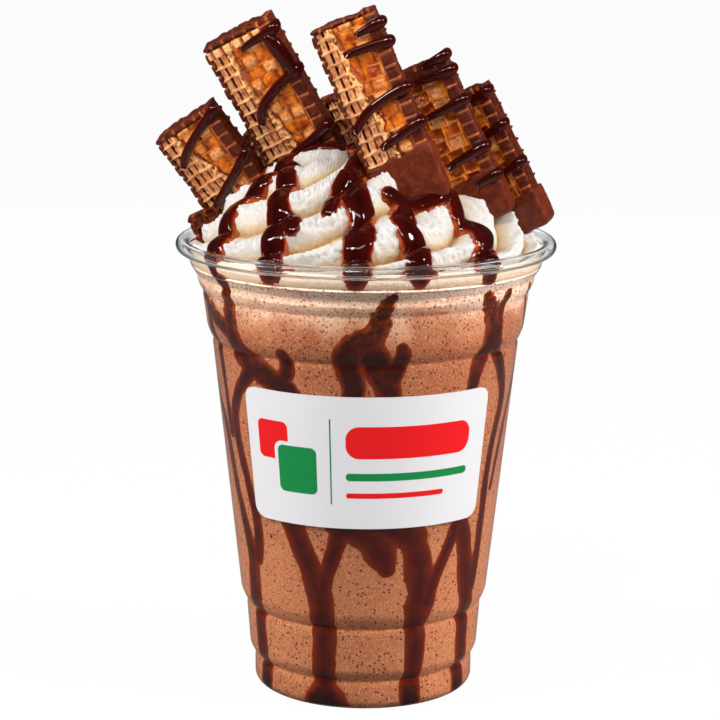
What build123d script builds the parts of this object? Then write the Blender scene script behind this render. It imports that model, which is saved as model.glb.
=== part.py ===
"""Chocolate milkshake in a clear plastic cup, heaped with piped cream and chocolate wafer bars.

Millimetres. The origin is on the cup's axis in the plane it stands on, +Z is up,
and the label faces -Y. Every piece is one solid in a STEP file of its own.
"""

from build123d import *
from math import cos, hypot, pi, sin
import os

# Cup: the rim and height come first, and the outline is worked out from them.
rim_radius = 49.0
cup_height = 118.5
wall = 0.6
lip_tube = 3.4
lip_overhang = 3.7
curl_end = 0.2
neck_depth = 6.5
draft = 0.1103

# Rounded shoulders that the cup steps in by, from the neck down: height and width of each.
neck_step = (2.7, 1.6)
upper_step = (2.4, 1.15)
grip_step = (3.1, 1.2)
lower_step = (3.3, 1.4)
foot_step = (2.5, 1.3)
upper_band = (1.6, 0.3)
middle_band = (9.3, 1.35)
lower_shoulder_height = 25.8
foot_shoulder_height = 10.5
lower_band_draft = 0.079
shoulder_radius = 1.5
foot_radius = 2.4

# Contents
fill_clearance = 0.1
shake_below_rim = 6.0
cream_wall_gap = 0.6
cream_edge_above_rim = -2.5
cream_rise = 24.5
cream_peak_across = -5.0
cream_coils = 3.4
cream_ridges = 18
cream_ridge_slant = 2.6
coil_depth = 2.6
ridge_depth = 0.7
edge_fade = 6
peak_fade = 12
cream_segments = 72
cream_rings = 18

# Label: a rounded rectangle that wraps the straight part of the side
label_height = 34.5
label_half_angle = 52.0
label_bottom = 50.1
label_thickness = 0.15
label_gap = 0.1
label_corner = 3.0

# Wafer bars: a chocolate tray round a wafer block, with caramel let into its face
bar_width = 17.2
bar_thickness = 9.0
back_coat = 1.6
side_coat = 1.2
top_coat = 1.4
tile_rim = 3.8
side_drop = 0.9
caramel_width = 7.6
caramel_depth = 1.8
coat_radius = 0.8
cell_pitch = 3.4
cell_size = (1.2, 2.3)
cell_depth = 1.3
cell_columns = 2
groove_width = 0.6
groove_depth = 0.5

# Each bar: row from front to back, depth of its lower end in the cream, lean left, lean back,
# turn of its right side to the front, length, and length of the end dipped in chocolate
bars = {
    "bar_1": (0.46, 8.4, 35.7, -6.0, 8.0, 32.0, 6.0),
    "bar_2": (0.49, 12.5, 28.7, -6.0, 9.0, 50.0, 8.0),
    "bar_3": (-1.73, 6.8, 22.6, 4.0, 6.0, 52.0, 15.0),
    "bar_4": (-0.71, 6.3, 24.5, 4.0, 9.0, 44.0, 12.0),
    "bar_5": (0.28, 3.0, 26.0, 4.0, 18.0, 40.0, 9.0),
    "bar_6": (1.75, 10.0, 30.0, 0.0, 4.0, 25.4, 6.0),
    "bar_7": (1.75, 10.0, 26.0, 0.0, 6.0, 31.7, 7.0),
}
row_gap = 1.5

# Lower ends across the cup, as shares of the cream's radius, or in widths from a neighbour
placed_bars = {"bar_1": -0.668, "bar_3": 0.296, "bar_4": 0.666, "bar_5": 0.892, "bar_7": 0.17}
neighbour_bars = {"bar_2": ("bar_1", 1.064), "bar_6": ("bar_7", -1.2)}

# Broken bar end that leans on the rim beside the first bar
stub_size = (9.0, 7.0, 10.5)
stub_inside_lip = 3.0
stub_behind_axis = 7.0
stub_above_rim = 5.4
stub_lean = 25.0
stub_gap = 0.3
stub_cell = (3.0, 3.4, 1.0)
stub_clear_front = 12.0


def cup_outline(inset):
    """Radius and height of each corner of the side, from the neck down, inset by a wall."""
    neck = rim_radius - lip_overhang
    height = cup_height - neck_depth
    corners = [(neck, height)]
    for tall, wide in (neck_step, upper_band, upper_step, middle_band, grip_step):
        neck -= wide
        height -= tall
        corners.append((neck, height))
    radius = neck - draft * (height - lower_shoulder_height)
    corners.append((radius, lower_shoulder_height))
    shoulder = lower_shoulder_height - lower_step[0]
    radius -= lower_step[1]
    corners.append((radius, shoulder))
    radius -= lower_band_draft * (shoulder - foot_shoulder_height)
    corners.append((radius, foot_shoulder_height))
    radius -= foot_step[1]
    corners.append((radius, foot_shoulder_height - foot_step[0]))
    return [(r - inset, z) for r, z in corners]


def side_radius(z):
    """Outer radius of the straight side at height z."""
    grip_radius, grip_height = cup_outline(0)[5]
    return grip_radius - draft * (grip_height - z)


def vessel_face(inset, floor, top, top_radius):
    """Half section of everything inside the outline, from the axis out."""
    corners = cup_outline(inset)
    foot = corners[-1][0]
    turns = [(foot, floor)] + corners[::-1]
    with BuildLine() as line:
        Polyline((0, floor), *turns, (top_radius, top), (0, top), close=True)
    with BuildSketch() as sketch:
        add(line.line)
        make_face()
        shoulders = [v for v in sketch.vertices() if any(hypot(v.X - r, v.Y - z) < 0.01 for r, z in corners)]
        foot_edge = [v for v in sketch.vertices() if hypot(v.X - foot, v.Y - floor) < 0.01]
        fillet(shoulders, shoulder_radius)
        fillet(foot_edge, foot_radius)
    return sketch.sketch


def dome_height(radius):
    """Height of the cream's dome at a radius, before its coils and ridges."""
    return cream_edge + cream_rise * (1 - (radius / cream_radius) ** 2)


def cream_point(turn, rise):
    """Point of the piped heap: a dome pushed in along the coil's groove and out on its ridges."""
    dome_radius = cream_radius * cos(pi / 2 * rise)
    slope = 2 * cream_rise * dome_radius / cream_radius**2
    length = hypot(1, slope)
    body = abs(sin(pi * (cream_coils * rise - turn))) ** 0.7
    ridge = cos(2 * pi * (cream_ridges * turn + cream_ridge_slant * cream_coils * rise))
    fade = sin(pi / 2 * min(1, edge_fade * rise))
    push = (coil_depth * (body - 1) + ridge_depth * ridge * body) * fade
    radius = (dome_radius + push * slope / length) * min(1, peak_fade * (1 - rise))
    height = dome_height(dome_radius) + push / length
    across = radius * cos(2 * pi * turn) + cream_peak_across * (1 - dome_radius / cream_radius)
    return (across, radius * sin(2 * pi * turn), height)


def bar_plane(name):
    """Plane of a bar's face, from the middle of its top edge: x across, y up its length, z out."""
    row, sink, lean_left, lean_back, turn, length, _ = bars[name]
    if name in neighbour_bars:
        neighbour, widths = neighbour_bars[name]
        across = placed_bars[neighbour] * cream_radius + widths * bar_width
    else:
        across = placed_bars[name] * cream_radius
    deep = row * (bar_thickness + row_gap)
    foot = (across, deep, dome_height(hypot(across, deep)) - sink)
    face = Plane(origin=foot, x_dir=(1, 0, 0), z_dir=(0, -1, 0))
    leaning = face.location * Rotation(-lean_back, 0, 0) * Rotation(0, 0, lean_left)
    return Plane(leaning * Rotation(0, -turn, 0) * Location((0, length, 0)))


neck_radius = rim_radius - lip_overhang
lip_radius = lip_tube / 2
lip_centre = (rim_radius - lip_radius, cup_height - lip_radius)
lip_inner = lip_centre[0] - lip_radius
shake_level = cup_height - shake_below_rim
cream_radius = neck_radius - wall - cream_wall_gap
cream_edge = cup_height + cream_edge_above_rim
planes = {name: bar_plane(name) for name in bars}

os.makedirs("parts", exist_ok=True)


def write(piece, name):
    """Label a finished piece and write its STEP file."""
    piece.label = name
    export_step(piece, f"parts/{name}.step")


# Cup: a thin shell under a rolled lip that curls out and down
with BuildPart() as cup:
    with BuildSketch(Plane.XZ) as section:
        add(vessel_face(0, 0, lip_centre[1], lip_inner + wall))
        add(vessel_face(wall, wall, lip_centre[1], lip_inner), mode=Mode.SUBTRACT)
        with Locations(lip_centre):
            Circle(lip_radius)
            Circle(lip_radius - wall, mode=Mode.SUBTRACT)
        with Locations((lip_inner + wall, lip_centre[1])):
            curl_opening = lip_radius - wall - curl_end
            Rectangle(curl_opening, lip_tube, align=(Align.MIN, Align.MAX), mode=Mode.SUBTRACT)
    revolve(axis=Axis.Z)
write(cup.part, "cup")

# Shake: fills the cup up to its level
with BuildPart() as shake:
    with BuildSketch(Plane.XZ):
        shake_inset = wall + fill_clearance
        add(vessel_face(shake_inset, shake_inset, lip_centre[1], lip_inner - fill_clearance))
        with Locations((0, shake_level)):
            Rectangle(4 * rim_radius, cup_height, align=(Align.CENTER, Align.MIN), mode=Mode.SUBTRACT)
    revolve(axis=Axis.Z)
write(shake.part, "shake")

# Label: a thin band of the cone, kept where a rounded outline crosses its front
with BuildPart() as label:
    label_ends = (label_bottom, label_bottom + label_height)
    with BuildSketch(Plane.XZ):
        with BuildLine():
            near = [(side_radius(z) + label_gap, z) for z in label_ends]
            far = [(r + label_thickness, z) for r, z in near[::-1]]
            Polyline(*near, *far, close=True)
        make_face()
    revolve(axis=Axis.Z)
    with BuildSketch(Plane.XZ) as outline:
        with BuildLine():
            half_widths = [side_radius(z) * sin(label_half_angle * pi / 180) for z in label_ends]
            left = [(-half, z) for half, z in zip(half_widths, label_ends)]
            right = [(half, z) for half, z in zip(half_widths, label_ends)]
            Polyline(*left, *right[::-1], close=True)
        make_face()
        fillet(outline.vertices(), label_corner)
    extrude(amount=2 * rim_radius, mode=Mode.INTERSECT)
write(label.part, "label")

# Wafer bars: chocolate, wafer and caramel, each its own solid
top_front = (Align.CENTER, Align.MAX, Align.MAX)
top_right = (Align.MAX, Align.MAX, Align.MAX)
top_left = (Align.MIN, Align.MAX, Align.MAX)
mid_front = (Align.CENTER, Align.CENTER, Align.MAX)
top_middle = (Align.CENTER, Align.MAX, Align.CENTER)
core_width = bar_width - side_coat - tile_rim
core_middle = (side_coat - tile_rim) / 2
core_right = bar_width / 2 - tile_rim
core_depth = bar_thickness - back_coat
cells_width = core_width - caramel_width
cells_middle = core_right - caramel_width - cells_width / 2
for name, bar in bars.items():
    length, dip = bar[-2:]
    core_length = length - top_coat - dip
    core_mid = -top_coat - core_length / 2
    rows = int(core_length / cell_pitch)
    with BuildPart(planes[name]) as chocolate:
        Box(bar_width, length, bar_thickness, align=top_front)
        fillet(chocolate.edges(), coat_radius)
        with Locations((core_middle, -top_coat, 0)):
            Box(core_width, core_length, core_depth, align=top_front, mode=Mode.SUBTRACT)
        with Locations((-bar_width / 2, -top_coat, 0)):
            Box(side_coat, core_length, side_drop, align=top_left, mode=Mode.SUBTRACT)
        with Locations((core_right + tile_rim / 2, core_mid, 0)):
            with GridLocations(0, cell_pitch, 1, rows):
                Box(tile_rim, groove_width, groove_depth, align=mid_front, mode=Mode.SUBTRACT)
        with Locations((0, core_mid, 0)):
            with GridLocations(bar_width, cell_pitch, 2, rows):
                Box(2 * groove_depth, groove_width, bar_thickness, align=mid_front, mode=Mode.SUBTRACT)
    write(chocolate.part, f"{name}_chocolate")
    with BuildPart(planes[name]) as wafer:
        with Locations((core_middle, -top_coat, 0)):
            Box(core_width, core_length, core_depth, align=top_front)
        with Locations((core_right, -top_coat, 0)):
            Box(caramel_width, core_length, caramel_depth, align=top_right, mode=Mode.SUBTRACT)
        with Locations((cells_middle, core_mid, 0)):
            with GridLocations(cells_width / cell_columns, cell_pitch, cell_columns, rows):
                Box(*cell_size, cell_depth, align=mid_front, mode=Mode.SUBTRACT)
    write(wafer.part, f"{name}_wafer")
    with BuildPart(planes[name]) as caramel:
        with Locations((core_right, -top_coat, 0)):
            Box(caramel_width, core_length, caramel_depth, align=top_right)
    write(caramel.part, f"{name}_caramel")

# Broken bar end, wedged between the rim and the first bar
stub_top = (stub_inside_lip - lip_inner, stub_behind_axis, cup_height + stub_above_rim)
stub_face = Plane(origin=stub_top, x_dir=(1, 0, 0), z_dir=(0, -1, 0))
stub_place = stub_face.location * Rotation(0, 0, stub_lean)
stub_wide, stub_deep, stub_long = stub_size
with BuildPart() as stub:
    with Locations(stub_place):
        Box(stub_wide, stub_long, stub_deep, align=top_middle)
    fillet(stub.edges(), coat_radius)
    with Locations(stub_place * Location((0, -cell_pitch, stub_deep / 2))):
        Box(*stub_cell, align=mid_front, mode=Mode.SUBTRACT)
    with Locations(planes["bar_1"].location * Location((0, stub_gap, stub_clear_front))):
        cleared_length = bars["bar_1"][-2] + 2 * stub_gap
        cleared = (bar_width + 2 * stub_gap, cleared_length, bar_thickness + stub_clear_front + stub_gap)
        Box(*cleared, align=top_front, mode=Mode.SUBTRACT)
write(stub.part, "stub_chocolate")

# Cream: a faceted piped heap, pressed in where the bars stand
turns = [i / cream_segments for i in range(cream_segments)]
floor_ring = [(cream_radius * cos(2 * pi * t), cream_radius * sin(2 * pi * t), shake_level) for t in turns]
rings = [floor_ring] + [[cream_point(t, ring / cream_rings) for t in turns] for ring in range(cream_rings)]
peak = cream_point(0, 1)
facets = [Face(Wire.make_polygon(floor_ring, close=True))]
for i in range(cream_segments):
    j = (i + 1) % cream_segments
    for low, high in zip(rings, rings[1:]):
        facets.append(Face(Wire.make_polygon([low[i], low[j], high[j]], close=True)))
        facets.append(Face(Wire.make_polygon([low[i], high[j], high[i]], close=True)))
    facets.append(Face(Wire.make_polygon([rings[-1][i], rings[-1][j], peak], close=True)))
with BuildPart() as cream:
    add(Solid(Shell(facets)))
    for name, bar in bars.items():
        with Locations(planes[name].location):
            Box(bar_width, bar[-2], bar_thickness, align=top_front, mode=Mode.SUBTRACT)
    with Locations(stub_place):
        Box(stub_wide, stub_long, stub_deep, align=top_middle, mode=Mode.SUBTRACT)
write(cream.part, "cream")
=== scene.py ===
import bpy
import numpy as np
from mathutils import Matrix, Vector


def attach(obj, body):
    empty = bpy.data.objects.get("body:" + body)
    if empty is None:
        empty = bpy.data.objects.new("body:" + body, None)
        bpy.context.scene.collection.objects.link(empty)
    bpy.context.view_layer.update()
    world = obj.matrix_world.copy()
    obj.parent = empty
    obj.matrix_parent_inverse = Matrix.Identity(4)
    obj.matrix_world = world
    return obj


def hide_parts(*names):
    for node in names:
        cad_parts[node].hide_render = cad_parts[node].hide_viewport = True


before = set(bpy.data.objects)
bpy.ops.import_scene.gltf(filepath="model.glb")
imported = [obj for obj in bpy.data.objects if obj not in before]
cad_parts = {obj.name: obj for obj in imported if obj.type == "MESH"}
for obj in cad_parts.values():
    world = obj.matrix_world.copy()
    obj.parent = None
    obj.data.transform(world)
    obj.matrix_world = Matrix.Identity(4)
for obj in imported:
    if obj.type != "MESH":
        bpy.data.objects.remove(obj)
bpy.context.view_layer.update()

# Cup: one thin shell of clear plastic, drawn from a warm sheet into a stepped mould, so that every
# band's corner is soft. Its lip is rolled outward and down into a hollow bead.
MM = 0.001
wall = 0.6
step_heights = [0, 8.0, 10.5, 22.5, 25.8, 92.9, 96.0, 105.3, 107.7, 109.3, 112.0, 116.8]
step_radii = [28.65, 28.65, 29.95, 30.9, 32.3, 39.7, 40.9, 42.25, 43.4, 43.7, 45.3, 46.2]
creases = [(7.8, 0.4), (22.3, 0.5), (92.7, 0.4), (105.1, 0.2), (109.1, 0.2)]  # (height, depth)
crease_width, softened = 0.75, 1.2  # softened: the height that a corner takes


def polar(angle, distance, height):
    """Points at an angle from the front, a distance from the vertical axis and a height."""
    return np.stack(np.broadcast_arrays(distance * np.sin(angle), -distance * np.cos(angle), height), -1)


def wall_radius(height):
    """Outside radius of the cup: straight between the bands' corners, then averaged over a short
    height, which softens them. A narrow crease lies under each band."""
    nearby = np.linspace(-softened / 2, softened / 2, 9)
    radius = np.mean([np.interp(height + near, step_heights, step_radii) for near in nearby], 0)
    return radius - sum(deep * np.exp(-((height - at) / crease_width) ** 2) for at, deep in creases)


def patch(points, ring=False, poles=(False, False), keep=None, turn=False, **fields):
    """One surface as (points, triangles, squares, fields). The points are a grid in millimetres.
    ring joins the last column to the first, and a pole is a first or last row that is one point.
    keep drops the cells with no kept corner, and turn makes the faces look the other way."""
    rows, columns = points.shape[:2]
    number = np.arange(rows * columns).reshape(rows, columns)
    for row, pole in zip((0, -1), poles):
        if pole:
            number[row] = number[row, 0]
    left, right = (number, np.roll(number, -1, 1)) if ring else (number[:, :-1], number[:, 1:])
    squares = np.stack([left[:-1], right[:-1], right[1:], left[1:]], -1)
    ends = [(squares[0][:, [0, 2, 3]], poles[0]), (squares[-1][:, [0, 1, 2]], poles[1])]
    triangles = np.vstack([np.zeros((0, 3), int)] + [fan for fan, pole in ends if pole])
    squares = squares[int(poles[0]):len(squares) - int(poles[1])].reshape(-1, 4)
    if keep is not None:
        squares = squares[keep.reshape(-1)[squares].any(1)]
    if turn:
        squares, triangles = squares[:, ::-1], triangles[:, ::-1]
    values = {name: np.broadcast_to(field, (rows, columns)).reshape(-1) for name, field in fields.items()}
    return points.reshape(-1, 3), triangles, squares, values


def turned_profile(profile, count):
    """One closed surface: a profile of (radius, height) rows turned about the vertical axis."""
    radius, height = np.array(profile, float).T[:, :, None]
    points = polar(np.linspace(0, 2 * np.pi, count, endpoint=False), radius, height)
    return patch(points, ring=True, poles=(True, True))


def linked(name, data):
    """A new object that shows the data, in the scene."""
    made = bpy.data.objects.new(name, data)
    bpy.context.scene.collection.objects.link(made)
    return made


def meshed(name, patches, finish):
    """One mesh object from its patches, with its material. Points that no face uses are left out."""
    starts = np.cumsum([0] + [len(p[0]) for p in patches])
    points = np.vstack([p[0] for p in patches]) * MM
    triangles = np.vstack([p[1] + start for p, start in zip(patches, starts)])
    squares = np.vstack([p[2] + start for p, start in zip(patches, starts)])
    used, corners = np.unique(np.concatenate([triangles.ravel(), squares.ravel()]), return_inverse=True)
    mesh = bpy.data.meshes.new(name)
    mesh.vertices.add(len(used))
    mesh.vertices.foreach_set("co", points[used].astype(np.float32).ravel())
    mesh.loops.add(len(corners))
    mesh.loops.foreach_set("vertex_index", corners.ravel().astype(np.int32))
    sizes = np.concatenate([np.full(len(triangles), 3), np.full(len(squares), 4)])
    mesh.polygons.add(len(sizes))
    mesh.polygons.foreach_set("loop_start", np.concatenate([[0], np.cumsum(sizes)[:-1]]).astype(np.int32))
    mesh.update(calc_edges=True)
    mesh.shade_smooth()
    for field in patches[0][3]:
        values = np.concatenate([p[3][field] for p in patches])[used]
        mesh.attributes.new(field, "FLOAT", "POINT").data.foreach_set("value", values.astype(np.float32))
    mesh.materials.append(finish.block)
    return linked(name, mesh)


def piece(name, patches, finish, replaced=()):
    """A piece of the object. It rides on the body and may replace CAD nodes."""
    made = meshed(name, patches, finish)
    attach(made, "root")
    if replaced:
        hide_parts(*replaced)


def tone(red, green, blue):
    """A colour as it is read off a screen, 0 to 255, as the light it stands for."""
    share = np.array([red, green, blue]) / 255
    return (*np.where(share > 0.04045, ((share + 0.055) / 1.055) ** 2.4, share / 12.92).tolist(), 1.0)


def maths(operation):
    """A method that adds one Math node, fed with the values it is given."""
    return lambda *values: values[0].finish.node("ShaderNodeMath", dict(enumerate(values)), operation=operation)


class Value:
    """A shader socket that takes Python's own signs."""

    __add__, __sub__, __mul__, __truediv__ = map(maths, ("ADD", "SUBTRACT", "MULTIPLY", "DIVIDE"))
    __pow__, __abs__, above, below = map(maths, ("POWER", "ABSOLUTE", "MAXIMUM", "MINIMUM"))

    def __init__(self, finish, socket):
        self.finish, self.socket = finish, socket

    def __getitem__(self, name):
        return Value(self.finish, self.socket.node.outputs[name])


class Finish:
    """A material or a world, and its nodes."""

    def __init__(self, name, kind="Material"):
        self.kind = kind
        self.block = getattr(bpy.data, kind.lower() + "s").new(name)
        self.block.use_nodes = True
        self.tree = self.block.node_tree
        self.tree.nodes.clear()

    def node(self, kind, sockets=None, output=0, **settings):
        """Adds one node: its settings come first, then each socket's value or link."""
        made = self.tree.nodes.new(kind)
        for name, value in settings.items():
            setattr(made, name, value)
        for name, value in (sockets or {}).items():
            if isinstance(value, Value):
                self.tree.links.new(value.socket, made.inputs[name])
            else:
                made.inputs[name].default_value = value
        return Value(self, made.outputs[output])

    def field(self, name):
        """A value that the mesh carries at each point."""
        return self.node("ShaderNodeAttribute", output="Fac", attribute_name=name)

    def place(self):
        """The point's place on the object, in metres."""
        return self.node("ShaderNodeTexCoord", output="Object")

    def height(self):
        """The point's height above the object's foot, in metres."""
        return self.node("ShaderNodeSeparateXYZ", {0: self.place()}, "Z")

    def noise(self, size, detail=3.0, roughness=0.55):
        """Soft noise from 0 to 1 whose lumps are size millimetres across."""
        sockets = {"Vector": self.place(), "Scale": 1 / (size * MM), "Detail": detail, "Roughness": roughness}
        return self.node("ShaderNodeTexNoise", sockets)

    def pits(self, scale, radius, kept):
        """1 in soft round pits, one to each cell that chance keeps, and 0 between them."""
        cells = self.node("ShaderNodeTexVoronoi", {"Vector": self.place(), "Scale": scale})
        chance = self.node("ShaderNodeSeparateColor", {0: cells["Color"]})
        return self.between(cells, *radius, 1, 0) * self.between(chance, *kept)

    def between(self, value, low, high, start=0.0, end=1.0):
        """0 below low, 1 above high and a soft rise between, or start and end in their place."""
        sockets = {0: value, 1: low, 2: high, 3: start, 4: end}
        return self.node("ShaderNodeMapRange", sockets, interpolation_type="SMOOTHSTEP")

    def mix(self, share, *pair):
        """Two colours mixed: the first at share 0, the second at 1. A tuple is red, green and blue."""
        first, second = (tone(*colour) if isinstance(colour, tuple) else colour for colour in pair)
        return self.node("ShaderNodeMix", {0: share, 6: first, 7: second}, 2, data_type="RGBA")

    def ramp(self, value, *stops):
        """A colour for each value, between stops of (value, red, green, blue). The first is at 0."""
        made = self.node("ShaderNodeValToRGB", {0: value})
        elements = made.socket.node.color_ramp.elements
        elements.remove(elements[1])
        for place, *colour in stops:
            stop = elements.new(place) if place else elements[0]
            stop.position, stop.color = place, tone(*colour)
        return made

    def bump(self, height, depth):
        """Relief whose full height is depth millimetres."""
        return self.node("ShaderNodeBump", {"Height": height, "Distance": depth * MM})

    def surface(self, **sockets):
        """Closes the material with a Principled surface: an underscore stands for a space."""
        named = {name.replace("_", " "): value for name, value in sockets.items()}
        self.out(self.node("ShaderNodeBsdfPrincipled", named))

    def out(self, shader):
        end = self.tree.nodes.new("ShaderNodeOutput" + self.kind)
        self.tree.links.new(shader.socket, end.inputs["Surface"])


def arc(centre, radius, start, end, count):
    """Points on a circle about (radius, height), from one angle to another, in degrees."""
    angle = np.radians(np.linspace(start, end, count))
    return np.stack([centre[0] + radius * np.cos(angle), centre[1] + radius * np.sin(angle)], -1)


def side(inset, low, high, count):
    """The cup's side set in by inset, between two heights, as (radius, height) rows.
    The rows lie close together where a crease runs."""
    dense = [at + np.linspace(-1.5, 4.5, 25) for at, _ in creases]
    height = np.concatenate([np.linspace(low, high, count), *dense])
    height = np.sort(height[(height >= min(low, high)) & (height <= max(low, high))])[::1 if high > low else -1]
    return np.stack([wall_radius(height) - inset, height], -1)


lip_centre, lip_round, lip_curl = (47.3, 116.8), 1.7, -97
foot_centre, foot_round = (26.25, 2.4), 2.4
cup_profile = np.vstack([
    [(0, 0), (10, 0), (20, 0), (25.4, 0)], arc(foot_centre, foot_round, -90, 0, 8), side(0, 2.9, 116.3, 90),
    arc(lip_centre, lip_round - wall, 180, lip_curl, 30),
    arc(lip_centre, lip_round - wall / 2, lip_curl, lip_curl, 1), arc(lip_centre, lip_round, lip_curl, 180, 40),
    side(wall, 116.3, 3.0, 60), arc(foot_centre, foot_round - wall, 0, -90, 6),
    [(25.0, wall), (12, wall), (0, wall)]])
clear = Finish("clear_plastic")
plastic = clear.node("ShaderNodeBsdfPrincipled", {
    "Base Color": tone(252, 253, 253), "Roughness": 0.05, "IOR": 1.4, "Specular IOR Level": 0.16,
    "Transmission Weight": 1.0})
shadow = clear.node("ShaderNodeLightPath", output="Is Shadow Ray")
open_way = clear.node("ShaderNodeBsdfTransparent", {"Color": tone(254, 254, 254)})
clear.out(clear.node("ShaderNodeMixShader", {0: shadow, 1: plastic, 2: open_way}))
piece("clear_cup", [turned_profile(cup_profile, 192)], clear, ["cup"])

# Shake: ice cream whipped with milk and cocoa. It fills the cup and reaches just into its wall. It is
# paler and frothier at the top, and the whipping leaves pores and dark flecks all through it. Its pores
# and holes are painted dark as their shade, and its light specks are partly painted glints.
reach = 0.12
shake_inset = wall - reach
shake_top = 112.5
shake_profile = np.vstack([
    [(0, shake_inset), (12, shake_inset), (25.2, shake_inset)],
    arc(foot_centre, foot_round - shake_inset, -90, 0, 8), side(shake_inset, 2.9, shake_top - 0.6, 100),
    arc((44.0, shake_top - 0.9), 0.9, 0, 90, 5), [(38, shake_top), (20, shake_top), (0, shake_top)]])
froth = Finish("shake_froth")
level_height, waver = 0.12, 0.026  # metres
level = (froth.height() + (froth.noise(14, 4) - 0.5) * waver) / level_height
body = froth.ramp(
    level, (0.0, 162, 92, 56), (0.08, 190, 118, 78), (0.3, 192, 120, 80), (0.5, 178, 106, 70),
    (0.7, 168, 96, 62), (0.79, 160, 88, 56), (0.82, 170, 98, 64), (0.842, 194, 130, 94),
    (0.86, 218, 164, 130), (0.882, 238, 202, 174), (0.92, 250, 226, 204), (0.96, 252, 238, 224))
cloud = froth.between(froth.noise(7, 6, 0.65), 0.35, 0.7)
body = froth.mix(cloud * 0.25, body, (204, 136, 92))
murk = froth.between(froth.noise(11, 5, 0.6), 0.52, 0.72)
body = froth.mix(murk * 0.35, body, (158, 92, 58))
# Light specks: partly the froth's own grain and partly painted glints. The same noise also feeds the relief.
grain_and_glint = froth.between(froth.noise(0.5, 2), 0.45, 0.66)
body = froth.mix(grain_and_glint * 0.45, body, (232, 172, 128))
dust = froth.between(froth.noise(0.6, 1), 0.35, 0.43, 1, 0)
body = froth.mix(dust * 0.6, body, (166, 92, 46))
# Painted shade: the pores and the rare bigger holes are painted dark, as the shade inside them. The pores are sunk
# by the bump as well.
pore = froth.pits(900, (0.18, 0.34), (0.30, 0.40))
pore_shade_colour = froth.mix(froth.between(level, 0.80, 0.88), (74, 32, 16), (160, 76, 30))
body = froth.mix(pore * 0.85, body, pore_shade_colour)
hole_shade = froth.pits(170, (0.06, 0.12), (0.70, 0.74)) * froth.between(level, 0.83, 0.86, 1, 0)
body = froth.mix(hole_shade * 0.95, body, (48, 24, 16))
relief = grain_and_glint * 0.25 - pore
froth.surface(Base_Color=body, Roughness=0.55, Specular_IOR_Level=0.1, Normal=froth.bump(relief, 0.12))
piece("shake_fill", [turned_profile(shake_profile, 180)], froth, ["shake"])

# Sauce on the wall: syrup run down the inside of the cup before the shake went in. It is pressed flat
# between the two, dark where it is thick and orange-brown where it thins out at its edges.
def unit(value):
    """The value, held between 0 and 1."""
    return np.clip(value, 0, 1)


def lumpy(points, size, seed):
    """Random numbers on a cubic lattice of that size, smoothly blended between: about -1 to 1."""
    cell = points / size + 512.5 + seed * 7.3
    low = np.floor(cell).astype(np.int64)
    share = cell - low
    share = share * share * (3 - 2 * share)
    primes = np.array([374761393, 668265263, 974634777])
    total = np.zeros(points.shape[:-1])
    for corner in np.ndindex(2, 2, 2):
        at = low + np.array(corner)
        key = at @ primes + seed * 1274126177 & 0xFFFFFFFF
        key = ((key ^ (key >> 13)) * 1103515245) & 0xFFFFFFFF
        key ^= key >> 16
        total += np.where(np.array(corner), share, 1 - share).prod(-1) * (key / 2 ** 31 - 1)
    return total


def eased(route, rounds=3):
    """A route with its corners cut again and again, which leaves a smooth curve between its ends."""
    route = np.array(route, float)
    for _ in range(rounds):
        early, late = 0.75 * route[:-1] + 0.25 * route[1:], 0.25 * route[:-1] + 0.75 * route[1:]
        middle = np.stack([early, late], 1).reshape(-1, route.shape[1])
        route = np.vstack([route[:1], middle[1:-1], route[-1:]])
    return route


outside = -6.0  # the depth of a point that is far from every stroke


def stroke_depth(points, centres, widths):
    """How deep each point is in a stroke: 1 on its line, 0 at its half-width, negative outside."""
    depth = np.full(points.shape[:-1], outside)
    flat, result = points.reshape(-1, 3), depth.reshape(-1)
    near = ((flat > centres.min(0) - 9) & (flat < centres.max(0) + 9)).all(1)
    some = flat[near]
    best = result[near]
    for start, end, wide_start, wide_end in zip(centres, centres[1:], widths, widths[1:]):
        run = end - start
        share = unit((some - start) @ run / max(run @ run, 1e-9))
        gap = np.linalg.norm(some - start - share[:, None] * run, axis=1)
        best = np.maximum(best, 1 - gap / (wide_start + share * (wide_end - wide_start)))
    result[near] = best
    return result.reshape(points.shape[:-1])


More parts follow.
